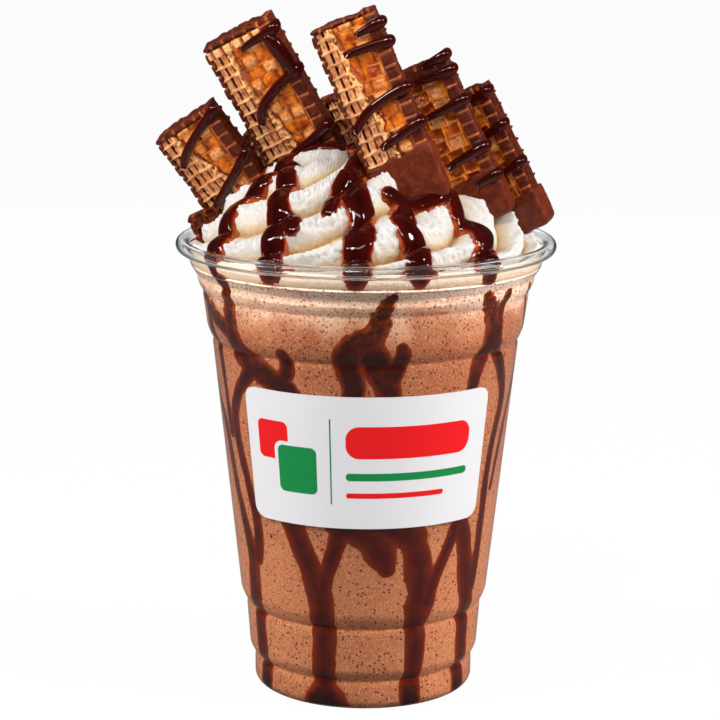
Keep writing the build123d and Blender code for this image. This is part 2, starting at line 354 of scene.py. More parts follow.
wall_runs = [  # points of (degrees from the front, height, half-width)
    [(-53, 111, 1.7), (-54, 106, 1.9), (-55, 101, 2.4), (-55, 96, 2.8), (-51, 92, 2.8), (-42, 88.5, 3),
     (-31, 86, 2.6), (-27, 83, 2)],
    [(-31, 94, 1.6), (-29, 90, 2), (-33, 87, 2)],
    [(-78, 105, 1.4), (-70, 101.5, 1.9), (-61, 99, 2), (-55, 97, 2.2)],
    [(-75, 105, 1.2), (-73, 97, 1.6), (-69, 92, 1.5), (-68, 85, 1.1), (-67, 76, 1), (-66, 70, 1.2)],
    [(-46, 89, 2), (-56, 83, 1.6), (-62, 76, 1.5), (-60, 66, 1.4), (-55, 56, 1.5), (-51, 46, 1.6), (-54, 38, 1.6)],
    [(9, 110.5, 1), (6, 107, 1.6), (4.5, 102, 2.4), (1, 99, 3), (-5, 97.5, 2.6), (-7, 93, 3), (-4, 88, 2.4),
     (-5, 83, 2), (-5, 78, 2)],
    [(2, 98, 2.6), (3, 93, 3.2), (8, 89, 2.8), (9, 84, 2.4), (9, 78, 2)],
    [(13, 97, 1.2), (14, 95, 1.6), (11, 91, 1.8), (9, 88, 2)],
    [(44, 109, 1.2), (48, 105.5, 2), (50.5, 101, 2.4), (51, 96, 2.4), (46, 91, 2), (44, 85, 1.6), (42, 80, 1.4)],
    [(56, 108.5, 1), (53, 104, 1.6), (54, 99, 1.6), (55, 94, 1.6), (62, 88, 1.6), (67, 80, 1.6), (62, 70, 1.3),
     (60, 60, 1.3), (60, 48, 1.4), (60, 38, 1.5), (58, 30, 1.6)],
    [(74, 108, 1), (80, 98, 1.1), (83, 90, 1.1), (77, 80, 1.1), (70, 68, 1), (66, 56, 0.9)],
    [(-98, 115.5, 2), (-96, 107, 1.5), (-99, 98, 1.9), (-93, 90, 1.7), (-84, 82, 1.4), (-72, 72, 1.5),
     (-69, 60, 1.5), (-62, 46, 1.4), (-58, 38, 2.2), (-59, 28, 2.4), (-61, 22, 2.4), (-61, 12, 2.2), (-62, 3, 2.4)],
    [(-33, 52, 2.4), (-29, 46, 2.6), (-24, 39, 2.6), (-20, 31, 2.8), (-19, 24, 2.6), (-19.5, 11, 2.4),
     (-20, 5.5, 2.3), (-19.5, 2.4, 4.2), (-19.5, 0.8, 5)],
    [(-9, 52, 2.2), (-12, 45, 1.8), (-16, 38, 1.6), (-19, 33, 1.8)],
    [(-12, 50.5, 2.2), (-4, 49, 2.6), (4, 47, 3.4), (7.5, 43.5, 3.4), (9.5, 39.5, 2)],
    [(6, 50.5, 2.6), (14, 48.5, 2.8), (22, 47, 3)],
    [(18, 50, 2.6), (23, 44, 3), (26, 36, 3), (26, 28, 2.9), (25.7, 22, 2.3), (25.6, 11, 2.1), (25.4, 2.5, 2.3)],
    [(44, 51, 1.6), (38, 42, 1.4), (32, 34, 1.6), (28, 29, 2.4)],
    [(45, 51, 1.8), (50, 41, 2.3), (54, 31, 2.5), (57, 22, 2.5), (58, 13, 2.2), (60, 3, 2.3)],
    [(-58, 115.5, 1.8), (-56, 113, 1.2)],
    [(-31, 115.5, 2.6), (-31.5, 115.2, 2.2)],
    [(-3, 115.7, 2.4), (-3, 115.6, 2.3)],
    [(16.5, 115.7, 2.6), (16.5, 115.5, 2.3)],
    [(42, 115.5, 2.4), (42, 114.4, 2)],
    [(120, 115.5, 2.6), (118, 104, 2), (121, 97, 2.4), (116, 88, 2.6), (112, 78, 2), (114, 64, 1.8), (110, 48, 2.2),
     (112, 30, 2.4), (111, 4, 2.2)],
    [(118, 92, 2), (127, 84, 2), (132, 72, 1.8), (128, 58, 1.6), (131, 44, 1.6), (124, 34, 1.6), (114, 26, 2)],
    [(160, 115.5, 3), (161, 107, 2), (158, 99, 2.6), (163, 92, 3), (170, 84, 2.4), (166, 70, 2.2), (171, 56, 2.4),
     (168, 36, 2.6), (169, 20, 2.4), (168, 3, 2.8)],
    [(158, 96, 2.4), (150, 88, 2.2), (148, 76, 1.8), (153, 60, 1.6), (150, 46, 2), (151, 40, 1.6)],
    [(205, 115.5, 2.8), (203, 105, 2), (206, 97, 2.6), (200, 89, 2.4), (202, 76, 2), (196, 62, 2), (190, 50, 1.8),
     (192, 38, 2), (190, 33, 1.8)],
    [(206, 95, 2.2), (214, 88, 2.2), (220, 76, 1.8), (216, 62, 1.8), (219, 48, 2), (215, 30, 2.2), (216, 3, 2.2)],
    [(248, 115.5, 2.8), (246, 105, 2), (249, 96, 2.6), (243, 86, 2.2), (246, 70, 1.8), (250, 54, 1.8),
     (245, 38, 2.2), (247, 18, 2), (246, 3, 2.2)]]
angle = np.radians(np.linspace(-180, 180, 600, endpoint=False))
rows = np.linspace(0.9, 115.7, 243)[:, None]
radius = wall_radius(rows) - shake_inset
rounding = np.sqrt(np.clip((foot_round - shake_inset) ** 2 - (foot_centre[1] - rows) ** 2, 0, None))
radius = np.where(rows < 3.0, np.minimum(radius, foot_centre[0] + rounding), radius)
film = polar(angle, radius, rows)
spread, thin, fat = 1.3, 0.10, 0.18  # a share of the half-width, then the film's thickness
depth = np.full(film.shape[:2], outside)
for run in wall_runs:
    turned, tall, half_width = eased(run).T
    centres = polar(np.radians(turned), wall_radius(tall) - shake_inset, tall)
    depth = np.maximum(depth, stroke_depth(film, centres, half_width * spread))
ragged = 0.16 * lumpy(film, 4.5, 1) + 0.05 * lumpy(film, 1.6, 2)
splash = unit((rows - 99) / 6) * unit((113 - rows) / 3) * 0.35 * lumpy(film, 1.1, 3)
depth = depth + ragged + splash
thick = np.where(depth > 0, fat * np.sqrt(unit(depth)) + thin, thin + 4 * depth)
film[..., :2] *= ((radius + np.clip(thick, -0.3, 0.3)) / radius)[..., None]
pressed = Finish("sauce_on_wall")
height = pressed.height()
deep = pressed.field("depth") + (pressed.noise(2.4, 3) - 0.5) * pressed.field("depth").below(0.4) * 1.2
stain = pressed.ramp(
    deep, (0.0, 166, 82, 34), (0.03, 140, 56, 20), (0.08, 118, 38, 12), (0.4, 104, 28, 8), (1.0, 78, 16, 5))
clotted = pressed.between(pressed.noise(4.0, 4, 0.6), 0.34, 0.56) * pressed.between(deep, 0.1, 0.5)
stain = pressed.mix(clotted * pressed.between(height, 0.045, 0.090, 0.45, 0.9), stain, (46, 9, 3))
pooled = pressed.between(height, 0.003, 0.007, 1, 0) * pressed.between(deep, 0.1, 0.5)
stain = pressed.mix(pooled, stain, (40, 8, 4))
high = pressed.between(height, 0.094, 0.106) * pressed.between(height, 0.1085, 0.1105, 1, 0)
streaky = pressed.between(pressed.noise(1.1, 4, 0.6), 0.42, 0.6)
stain = pressed.mix(high * streaky * pressed.between(deep, 0.1, 0.7, 0.95, 0.25), stain, (158, 74, 22))
pressed.surface(
    Base_Color=stain, Roughness=0.3, Specular_IOR_Level=0.1, Normal=pressed.bump(pressed.noise(2.4, 2), 0.15))
piece("wall_sauce", [patch(film, ring=True, keep=depth > -0.45, depth=unit(depth))], pressed)

# Label: a white paper sticker with round corners, pressed onto the cone. Its print is plain marks in
# green and red: two squares with round corners, a thin rule, a thick bar and two thin bars.
label_low, label_high, label_centre, label_half, label_round = 50.1, 84.6, 1.2, 52.0, 3.4
label_middle, half_height = (label_low + label_high) / 2, (label_high - label_low) / 2
mean_radius = wall_radius(label_middle)
half_width = np.radians(label_half) * mean_radius
up = np.linspace(-1, 1, 61)[:, None] * half_height
from_end = np.clip(np.abs(up) - (half_height - label_round), 0, label_round)
across = np.linspace(-1, 1, 161) * (half_width - label_round + np.sqrt(label_round ** 2 - from_end ** 2))


def label_points(lift):
    """The label's outline wrapped on the cone: width becomes angle, at a small lift off the cup."""
    angle = across / mean_radius + np.radians(label_centre)
    return polar(angle, wall_radius(label_middle + up) + lift, label_middle + up)


def rim(upper, lower):
    """A closed strip of faces from the edge of one grid to the edge of another."""
    return np.stack([np.vstack([g[0], g[1:, -1], g[-1, -2::-1], g[-2:0:-1, 0]]) for g in (lower, upper)])


face_points, back_points = label_points(0.24), label_points(0.1)
paper = Finish("label_paper")
x, y = paper.field("across"), paper.field("up")


def inside(distance):
    """1 within a shape and 0 outside, with a soft border of a tenth of a millimetre."""
    return paper.between(distance, -0.05, 0.05, 1, 0)


def bar_shape(x0, x1, y0, y1, corner):
    """Distance from a rectangle with round corners: negative inside it."""
    far_x = (abs(x - (x0 + x1) / 2) - ((x1 - x0) / 2 - corner)).above(0.0)
    far_y = (abs(y - (y0 + y1) / 2) - ((y1 - y0) / 2 - corner)).above(0.0)
    return (far_x * far_x + far_y * far_y) ** 0.5 - corner


white, red, green = (207, 205, 207), (212, 2, 10), (2, 124, 60)
marks = [  # colour, then a rectangle's left, right, low and high edge and its corner radius
    (red, -29.6, -20.4, -0.6, 9.4, 1.6), (white, -24.6, -11.8, -9.8, 4.4, 2.4),
    (green, -23.6, -12.8, -8.8, 3.4, 1.6), (green, -9.4, -9.0, -11.0, 11.4, 0.19),
    (red, -5.4, 27.5, 1.2, 9.6, 3.4), (green, -5.4, 27.5, -4.6, -2.6, 0.9), (red, -5.4, 20.5, -9.2, -7.8, 0.7)]
ink = white
for colour, *shape in marks:
    ink = paper.mix(inside(bar_shape(*shape)), ink, colour)
fibre = paper.noise(0.5, 3)
paper.surface(
    Base_Color=ink, Roughness=paper.between(fibre, 0.2, 0.8, 0.36, 0.46), Specular_IOR_Level=0.2,
    Normal=paper.bump(fibre, 0.015))
unprinted = 99.0
piece("paper_label", [
    patch(face_points, across=across, up=up), patch(back_points, turn=True, across=unprinted, up=unprinted),
    patch(rim(face_points, back_points), ring=True, across=unprinted, up=unprinted)], paper, ["label"])

# Cream: whipped cream piped from a star nozzle in a climbing spiral. Each flute leaves a fat lobe with
# a tight crease under it, and the stiff cream tears into small teeth along the lobes' crests. The creases
# are painted darker and yellower, as painted shade.
cream_edge, cream_rise, cream_radius, peak_across = 116.0, 24.5, 44.1, -5.0
arms, climbs, lobe_depth = 9, 4.4, 3.7
seats = [(15, -24, 4.5, 8.0), (31, -15, 2.5, 7.0)]  # where a bar's foot presses the cream down


def cream_surface(angle, rise, ruffle, swells=1.0):
    """A dome pushed in along its creases. rise is 0 at the edge and 1 at the peak.
    A lobe's number is arms x turn - climbs x rise, bent by noise, and its swell is one less a power
    of the distance from its crest. ruffle adds fine pleats across each lobe, teeth and grain."""
    ring = cream_radius * np.cos(np.pi / 2 * rise)
    dome_height = cream_edge + cream_rise * (1 - (ring / cream_radius) ** 2)
    dome = polar(angle, ring, dome_height)
    bend = 0.20 * lumpy(dome, 17, 4) + 0.07 * lumpy(dome, 6, 5)
    number = arms * angle / (2 * np.pi) - climbs * rise + bend
    share = number - np.floor(number)
    swell = 1 - np.abs(2 * share ** 1.15 - 1) ** 1.9
    push = lobe_depth * (1 + 0.35 * lumpy(dome, 13, 6)) * (swell - 0.7)
    if ruffle:
        crest = np.exp(-((share - 0.5) / 0.22) ** 2)
        pleat = np.sin(118 * angle + 95 * rise + 5.0 * lumpy(dome, 4.5, 13))
        minor = np.abs(np.sin(np.pi * (3 * number + 0.6 * lumpy(dome, 5, 14)))) ** 0.6
        push = push + 0.26 * pleat * (0.25 + crest) + 0.55 * (minor - 0.65) * swell
        push = push + 0.75 * lumpy(dome, 1.9, 7) * (0.2 + crest)
        push = push + 0.3 * lumpy(dome, 1.0, 8) + 0.12 * lumpy(dome, 0.6, 9)
    fade = np.sin(np.pi / 2 * unit(8 * rise)) * unit(7 * (1 - rise))
    push = push * fade * swells
    slope = 2 * cream_rise * ring / cream_radius ** 2
    steep = np.hypot(1, slope)
    radius = np.clip(ring + push * slope / steep, 0, cream_radius + 0.6) * unit(10 * (1 - rise))
    points = polar(angle, radius, dome_height + push / steep)
    points[..., 0] += peak_across * (1 - ring / cream_radius)
    for x, y, deep, wide in seats:
        away = (points[..., 0] - x) ** 2 + (points[..., 1] - y) ** 2
        points[..., 2] -= deep * np.exp(-away / wide ** 2)
    # The second value is a mask for painted shade: 1 deep in the crease under a lobe and 0 on its crest.
    return points, unit(1 - swell) * fade


turn_grid, rise_grid = np.meshgrid(np.linspace(-np.pi, np.pi, 640, endpoint=False), np.linspace(0, 1, 150))
cream_points, recess = cream_surface(turn_grid, rise_grid, True)
foot_rows = [(0, 112.2), (44.4, 112.2), (44.9, 112.9), (45.3, 114.0), (45.35, 114.9), (44.9, 115.6)]
skirt = np.stack([polar(turn_grid[0], distance, height) for distance, height in foot_rows] + [cream_points[0]])
whipped = Finish("whipped_cream")
shade_in_fold = whipped.field("recess")
# Painted shade: the creases between the lobes are painted darker and yellower.
cream_colour = whipped.ramp(
    shade_in_fold + (whipped.noise(3.0, 3) - 0.5) * 0.25,
    (0.0, 228, 224, 220), (0.4, 226, 215, 200), (0.7, 222, 196, 156), (1.0, 194, 146, 90))
cream_colour = whipped.mix(whipped.field("melt"), cream_colour, (232, 206, 178))
whipped.surface(
    Base_Color=cream_colour, Roughness=0.5, Subsurface_Weight=0.25, Subsurface_Radius=(1.0, 0.8, 0.6),
    Subsurface_Scale=0.0015, Normal=whipped.bump(whipped.noise(0.55, 4, 0.65) + whipped.noise(1.6, 3), 0.4))
melt = unit(1 - 30 * rise_grid) * 0.6
skirt_melt = np.array([1, 1, 1, 1, 0.9, 0.8, 0.6])[:, None]
piece("piped_cream", [
    patch(cream_points, ring=True, poles=(False, True), recess=recess, melt=melt),
    patch(skirt, ring=True, poles=(True, False), recess=0.0, melt=skirt_melt)], whipped, ["cream"])

# Sauce on the cream: warm chocolate syrup poured over the peak and down the lobes. It lies fat and
# glossy, sinks into each crease and swells over each lobe, and shows orange where it is thinnest.
cream_runs = [  # points of (degrees from the front, distance from the axis, half-width)
    [(-110, 4, 1.6), (-98, 12, 2), (-76, 20, 2.6), (-67, 26, 2.6), (-73, 31, 2.4), (-68, 36, 2.6), (-61, 40, 2.8),
     (-59, 44, 3)],
    [(-70, 17, 2), (-53, 21, 2.4), (-46, 26, 2.5), (-40, 31, 2.8), (-36, 35, 2.8), (-34, 40, 3.2),
     (-31.5, 44, 3.2)],
    [(-40, 31, 2.2), (-30, 34, 2.4), (-28, 36, 1.6)],
    [(70, 5, 2.6), (14, 9, 2.4), (-3, 18, 2.5), (-2, 24, 3), (0, 29, 2.9), (0, 33, 2.6), (-1, 37, 3.4),
     (-3, 40, 2.7), (-3, 44, 3.2)],
    [(-7, 19, 2), (-13, 26, 2.2), (-14, 31, 1.8)],
    [(24, 27, 2.8), (20, 31, 3), (18, 34, 2.6), (20, 38, 3.4), (18, 41, 2.8), (17, 44, 3.6)],
    [(20, 24, 2.2), (36, 24.5, 2.4), (53, 26, 2.6)],
    [(60, 27, 2.6), (50, 32, 2.6), (52, 36, 3.2), (50, 39, 3.2), (44, 42, 3), (42, 44, 3.4)],
    [(110, 12, 2.4), (118, 22, 2.8), (114, 30, 2.6), (120, 37, 3.2), (118, 44, 3.2)],
    [(165, 8, 2.4), (158, 18, 2.6), (164, 27, 3), (158, 35, 2.8), (160, 44, 3.4)],
    [(215, 10, 2.4), (205, 20, 2.6), (209, 30, 3), (203, 38, 2.8), (205, 44, 3.2)],
    [(262, 10, 2.4), (252, 22, 2.6), (256, 32, 3), (247, 39, 2.8), (248, 44, 3.2)]]
smooth, _ = cream_surface(turn_grid, rise_grid, False, 0.6)


def on_cream(angle, distance):
    """The route's place on the cream: the nearest point of the smooth heap, by angle and ring."""
    rise = np.arccos(unit(distance / cream_radius)) / (np.pi / 2)
    return cream_surface(np.radians(angle)[None, :], rise[None, :], False)[0][0]


pour = np.full(turn_grid.shape, outside)
for run in cream_runs:
    turned, distance, half_width = eased(run).T
    pour = np.maximum(pour, stroke_depth(smooth, on_cream(turned, distance), half_width * 1.2))
pour = pour + 0.20 * lumpy(smooth, 4.2, 10) + 0.05 * lumpy(smooth, 1.6, 11)
thin, fat = 0.6, 1.3
round_top = fat * np.sqrt(unit(pour * (2 - unit(pour)))) + thin
lift = np.where(pour > 0, round_top, thin + 9 * pour)
lift = lift + 0.35 * lumpy(smooth, 5.5, 12) * unit(pour * 3)
row_step = np.gradient(smooth, axis=0)
column_step = (np.roll(smooth, -1, 1) - np.roll(smooth, 1, 1)) / 2
outward = np.cross(column_step, row_step)
outward /= np.maximum(np.linalg.norm(outward, axis=2), 1e-9)[..., None]
outward[-6:] = [0, 0, 1]
coating = smooth + outward * np.clip(lift, -1.4, 2.6)[..., None]
syrup_reach = 44.9
distance = np.hypot(coating[..., 0], coating[..., 1])
coating[..., :2] *= np.where(distance > syrup_reach, syrup_reach / distance, 1)[..., None]
syrup = Finish("chocolate_syrup")
fatness = syrup.field("depth") + (syrup.noise(2, 2) - 0.5) * 0.2
syrup.surface(
    Base_Color=syrup.ramp(fatness, (0.0, 176, 80, 26), (0.06, 118, 28, 8), (0.16, 66, 7, 3), (1.0, 34, 2, 1)),
    Roughness=0.07, Specular_IOR_Level=0.5, Normal=syrup.bump(syrup.noise(7.0, 2), 0.4))
poured = patch(coating, ring=True, poles=(False, True), keep=pour > -0.55, depth=unit(pour))
piece("cream_syrup", [poured], syrup)

# Wafer bars: crisp waffled wafer with soft caramel laid on its face, in a milk chocolate coat that
# leaves the face open, with square tiles down one edge. The bars' feet are dipped again in chocolate.
bar_wide, bar_thick, top_coat, tile_rim, side_coat, pitch = 17.2, 9.0, 1.4, 3.8, 1.2, 3.4
slat, square, notch_pitch = 1.9, 4.2, 3.3
sunk = -3.0  # where a face's border ends, inside the coat
bars = {  # dipped foot, extra width on the right, depth of side cells, top coat, caramel's edge (down, across)
    "bar_1": (6, 1.0, 0.5, 1.6, [(0, -4), (8, -2), (14, 0.5), (24, 3)]),
    "bar_2": (8, 2.6, 0.5, 1.4, [(0, -1.5), (12, -2.6), (20, -0.8), (30, 1), (42, 2.5)]),
    "bar_3": (14, 0.4, 0.6, 1.4, [(0, -3.6), (8, -2.6), (16, -1.6), (24, -0.4), (30, 0), (38, 1.6)]),
    "bar_4": (12, 0.4, 0.8, 4.8, [(0, -4.5), (14, -3.6), (32, -4.5)]),
    "bar_5": (9, 0.6, 1.3, 4.0, [(0, -5.5), (14, -4), (32, -5)]),
    "bar_6": (6, 0.0, 0.7, 1.4, [(0, -3), (20, -2)]),
    "bar_7": (7, 0.0, 0.7, 1.4, [(0, -3), (26, -1)])}


class Place:
    """A bar's own frame, read from its caramel: x across the face, y up the bar, z out of the face."""

    def __init__(self, name, dip):
        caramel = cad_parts[name + "_caramel"].data
        corners = np.unique(np.round([v.co[:] for v in caramel.vertices], 6), axis=0) / MM
        steps = corners - corners[0]
        order = np.argsort(np.linalg.norm(steps, axis=1))
        out, wide, long = steps[order[1]], steps[order[2]], steps[order[4]]
        self.length = np.linalg.norm(long) + top_coat + dip
        out, wide, long = (s / np.linalg.norm(s) for s in (out, wide, long))
        self.wide, self.long = wide * np.sign(wide[0]), long * np.sign(long[2])
        self.out = out * -np.sign(out[1])
        corner = corners[np.argmax(corners @ (self.wide + self.long + self.out))]
        self.origin = corner - self.wide * (bar_wide / 2 - tile_rim) + self.long * top_coat

    def put(self, x, y, z):
        """Points of the bar's frame as points of the object."""
        return self.origin + x[..., None] * self.wide + y[..., None] * self.long + z[..., None] * self.out


def comb(value, spacing, width, soft=0.25):
    """1 on ridges of a width that stand a spacing apart, 0 between them, with soft flanks."""
    off = np.abs((value / spacing + 0.5) % 1 - 0.5) * spacing
    return unit((width / 2 + soft - off) / (2 * soft))


def chance(numbers, scale, seed):
    """One random number for each cell, from the cell's three numbers: about -1 to 1."""
    return lumpy(np.stack(numbers, -1) * scale, 1.0, seed)


def rounded_loop(left, right, front, back, corner, count):
    """A rectangle with round corners in the (x, z) plane, evenly stepped, and its outward normals."""
    x0, x1, z0, z1 = left + corner, right - corner, back + corner, front - corner
    centres = enumerate([(x1, z1), (x0, z1), (x0, z0), (x1, z0)])
    loop = np.vstack([arc(centre, corner, 90 * k, 90 * k + 90, 5) for k, centre in centres])
    closed = np.vstack([loop, loop[:1]])
    run = np.concatenate([[0], np.cumsum(np.linalg.norm(np.diff(closed, axis=0), axis=1))])
    at = np.linspace(0, run[-1], count, endpoint=False)
    loop = np.stack([np.interp(at, run, closed[:, 0]), np.interp(at, run, closed[:, 1])], -1)
    along = np.roll(loop, -1, 0) - np.roll(loop, 1, 0)
    normal = np.stack([along[:, 1], -along[:, 0]], -1)
    return loop, normal / np.linalg.norm(normal, axis=1)[:, None]


def coat(place, left, right, thick, length, dip, cell_depth, cap, seed):
    """The chocolate coat: a rounded box, closed at both ends, with waffle cells sunk in its sides and
    back, grooves between the tiles of its right edge, and its face pushed in where it lies open.
    Each point of the box moves out along its normal by the sum of those reliefs and a little noise.
    A cap of 0 is a plain piece with no open face."""
    corner, foot = 0.9, 2.2 if dip else 0.9
    loop, normal = rounded_loop(left, right, 0, -thick, corner, 190)
    ends = np.array([0.0, 0.25, 0.5, 0.75, 0.92])
    run = np.linspace(-corner, foot - length, int(length / 0.27))[1:-1]
    rows = np.vstack([
        [(corner, 0.0)] * 5, arc((corner, -corner), corner, 90, 180, 6)[1:], np.stack([0 * run, run], -1),
        arc((foot, foot - length), foot, 180, 270, 6)[:-1], [(foot, -length)] * 5])
    inset, y = rows.T[:, :, None]
    shrink = np.concatenate([ends, np.ones(len(y) - 10), ends[::-1]])[:, None]

    def drawn_in(points, low, high):
        """One coordinate of the loop at each row, drawn in toward its middle by the row's inset."""
        middle, half = (low + high) / 2, (high - low) / 2
        return middle + (points - middle) * (shrink * (1 - inset / half))

    x, z = drawn_in(loop[:, 0], left, right), drawn_in(loop[:, 1], -thick, 0)
    y = y + 0 * x
    spot = np.stack([x, y, z], -1)
    edge = -(length - dip) + 0.7 * lumpy(spot, 3.0, seed) + 0.1 * x
    dipped = unit((edge - y) / 0.7 + 0.5) if dip else 0 * y
    facing, sideways = normal[:, 1], np.abs(normal[:, 0]) > 0.5
    body = shrink > 0.99
    left_rim = unit((left + side_coat + 0.2 - x) / 0.4) * (facing > -0.5)
    top_rim = unit((y + top_coat + 0.2) / 0.4) * (facing > -0.5)
    lump_y = chance([np.floor(y / pitch + 0.5)] * 3, 7.7, seed + 5)
    lump_x = chance([np.floor(x / notch_pitch + 0.3)] * 3, 7.7, seed + 6)
    notch_y, notch_x = comb(y + pitch / 2, pitch, 0.4, 0.3), comb(x - 0.65, notch_pitch, 0.4, 0.3)
    ridges = np.where(sideways, comb(z + 0.45, 3.0, 0.8), comb(x, pitch, 0.9))
    waffle = -cell_depth * (1 - np.maximum(comb(y, pitch, 0.9), ridges))
    waffle = waffle * (((facing < 0.3) & (x > left + 2) if cap else facing < 2) & body)
    on_face = (facing > 0.5) & body
    rim_x = right - tile_rim
    wander = 0.35 * lumpy(spot, 5.0, seed + 4)
    long_groove = comb(np.abs(x - rim_x - 0.3 + wander), 99, 0.5, 0.22)
    groove = np.maximum(comb(y + pitch / 2 + wander, pitch, 0.55, 0.22), long_groove)
    groove = groove * on_face * (x > rim_x - 0.3) * (cap > 0)
    core = on_face & (x > left + side_coat) & (x < rim_x) & (y < -cap) & (cap > 0)
    scallop = left_rim * (0.35 * lump_y - 0.75 * notch_y)
    scallop = scallop + top_rim * (0.25 * lump_x - 0.5 * notch_x) * (1 - left_rim)
    tile = chance([np.floor(y / pitch)] * 3, 5.1, seed + 7) * on_face * (x > rim_x) * 0.3
    push = (waffle + scallop + tile - 0.45 * groove - 2.6 * core) * (1 - dipped) + 0.35 * dipped
    push = push + 0.2 * lumpy(spot, 2.4, seed + 1) + 0.08 * lumpy(spot, 0.9, seed + 2)
    uneven = (0.5 * lump_x - 0.7 * notch_x + 0.25 * lumpy(spot, 2.0, seed + 8)) * (cap > 0)
    raised = y + uneven * unit((y + 1.6) / 1.2) * unit((right - 1.0 - x) / 1.2)
    seam = np.maximum(unit(1.7 * groove - 0.7), 0.7 * np.maximum(left_rim * notch_y, top_rim * notch_x))
    seam = seam * (1 - dipped) * (0.85 + 0.5 * lumpy(spot, 1.5, seed + 3))
    points = place.put(x + push * normal[:, 0] * shrink, raised, z + push * normal[:, 1] * shrink)
    return patch(points, ring=True, poles=(True, True), seam=unit(seam), dipped=dipped)


def wafer(place, left, right, low, cap, border, number, seed):
    """The wafer's face: its height z over (x, y). Left of the caramel it is slats with slits and
    thin shelves between them, and under the caramel it is a plateau. A bright lace of crumbs runs
    along the caramel's edge. The second bar shows a row of squares at its top end. Its shade is
    painted: deep parts such as the slits are painted dark, and the face is painted paler where it stands higher."""
    columns = np.linspace(left + side_coat - 0.5, right - tile_rim + 0.25, 110)
    x, y = np.meshgrid(columns, np.linspace(low, -cap + 0.1, int(-low / 0.2)))
    spot = np.stack([x, y, 0 * x + 40 * number], -1)
    edge = np.interp(-y, *border) + 0.7 * lumpy(spot, 1.5, seed + 4)
    edge = edge + 0.4 * lumpy(spot, 0.7, seed + 5)
    lattice = unit((edge - x) / 0.3 + 0.5)
    bent_x = x + 0.25 * lumpy(spot, 4.0, seed + 6) - left - side_coat
    bent_y = y + 0.3 * lumpy(spot, 3.0, seed + 7)
    tall = chance([np.floor(bent_x / slat), np.floor(bent_y / pitch), 0 * x + number], 7.7, seed)
    shelf = comb(bent_y, pitch, 0.5, 0.22) * unit(0.7 + 0.6 * tall)
    first = np.abs(bent_x - slat) < 0.9
    gap = comb(bent_x, slat, np.where(first, 0.46, 0.26), 0.16) * (1 - comb(bent_y, pitch, 0.9, 0.3))
    hollow = comb(bent_x + slat / 2, slat, 0.3, 0.2) * comb(bent_y + pitch / 2, pitch, 1.1, 0.3) * (tall > 0)
    lace = np.exp(-((edge - x - 0.6) / 0.75) ** 2)
    lace = lace * np.clip(0.75 + 1.2 * lumpy(spot, 0.9, seed + 8), 0, 1.4)
    slats = -0.75 + 0.35 * tall - 1.3 * gap * np.where(first, 1.1, 0.8) - 0.5 * hollow + 0.7 * shelf
    slats = slats + 0.3 * lumpy(spot, 1.0, seed + 9) + 0.9 * lace
    plateau = -1.6 + 0.25 * lumpy(spot, 2.0, seed + 3)
    z = lattice * slats + (1 - lattice) * plateau
    end_row = unit((y + top_coat + 3.0) / 0.5) * (number == 1)
    squares = comb(x - left - 0.6, 2.9, 2.2) * comb(y + top_coat + 1.5, 99, 2.3)
    z = z * (1 - end_row) + end_row * (-1.2 + 1.3 * squares)
    # Painted shade: the face is painted dark where it sinks deep, in the slits, the hollows and between the end
    # squares.
    slit = unit((-1.15 - z) / 0.6) * np.maximum(lattice, end_row)
    z[[0, -1]] = z[:, [0, -1]] = sunk
    # Painted shade: the face is painted lighter the higher it stands and darker low down. A cell's random height
    # adds to it.
    pale = unit((z + 1.5) / 1.5 + 0.3 * tall)
    return patch(place.put(x, y, z), slit=slit, toast=unit(lace) * lattice, pale=pale)


def caramel(place, right, low, cap, border, number, seed):
    """The caramel's face: its height z over (x, y). It is a soft pillow in each of the wafer's cells,
    with a thin line on each rib. Where a cell is bare, the wafer's pale square shows through. A bar
    with a thick cap is the other way round: each cell is a pocket. Its low places are painted darker,
    as painted shade: the seams between the pillows, and on a thick-capped bar the pockets."""
    x, y = np.meshgrid(np.linspace(-6.5, right - tile_rim + 0.3, 84), np.linspace(low, -cap, int(-low / 0.3)))
    spot = np.stack([x, y, 0 * x + 40 * number], -1)
    edge = np.interp(-y, *border) + 0.8 * lumpy(spot, 1.9, seed + 4)
    pocketed = cap > 2
    bent_x, bent_y = x + 0.5 * lumpy(spot, 5.0, seed + 6), y + 0.3 * lumpy(spot, 3.0, seed + 7)
    tier = np.floor(bent_y / pitch)
    column = (bent_x - right + tile_rim) / square + 0.5 * chance([tier] * 3, 5.3, seed)
    block = comb(column * square + square / 2, square, 3.3, 0.4) * comb(bent_y + pitch / 2, pitch, 2.5, 0.4)
    pillow = np.sqrt(np.abs(np.sin(np.pi * bent_y / pitch) * np.sin(np.pi * column)))
    bare = unit(chance([np.floor(column), tier, 0 * x + number], 7.7, seed) * 9 - 1.2) * block
    line = comb(bent_y, pitch, 0.28, 0.16) * unit(0.75 + lumpy(spot, 2.0, seed + 1))
    if pocketed:
        line = np.maximum(line, 0.9 * comb(column * square, square, 0.28, 0.16))
    lumps = 0.4 * lumpy(spot, 2.6, seed + 5) + 0.2 * lumpy(spot, 1.1, seed + 8)
    z = -0.85 + (-0.66 if pocketed else 0.55) * pillow + 0.35 * bare + lumps * (1 - 0.8 * bare) + 0.5 * line
    inner = unit((x - edge) / 0.9)
    z = np.minimum(z * inner - 2.6 * (1 - inner), 0.25)
    z[[0, -1]] = z[:, [0, -1]] = sunk
    # Painted shade: this field is high where the caramel lies low, along the seams between the pillows and in the
    # pockets of a thick-capped bar.
    deep = 0.5 * pillow if pocketed else unit(1 - 1.6 * pillow)
    return patch(place.put(x, y, z), thin=bare, deep=deep * (1 - line), line=line)


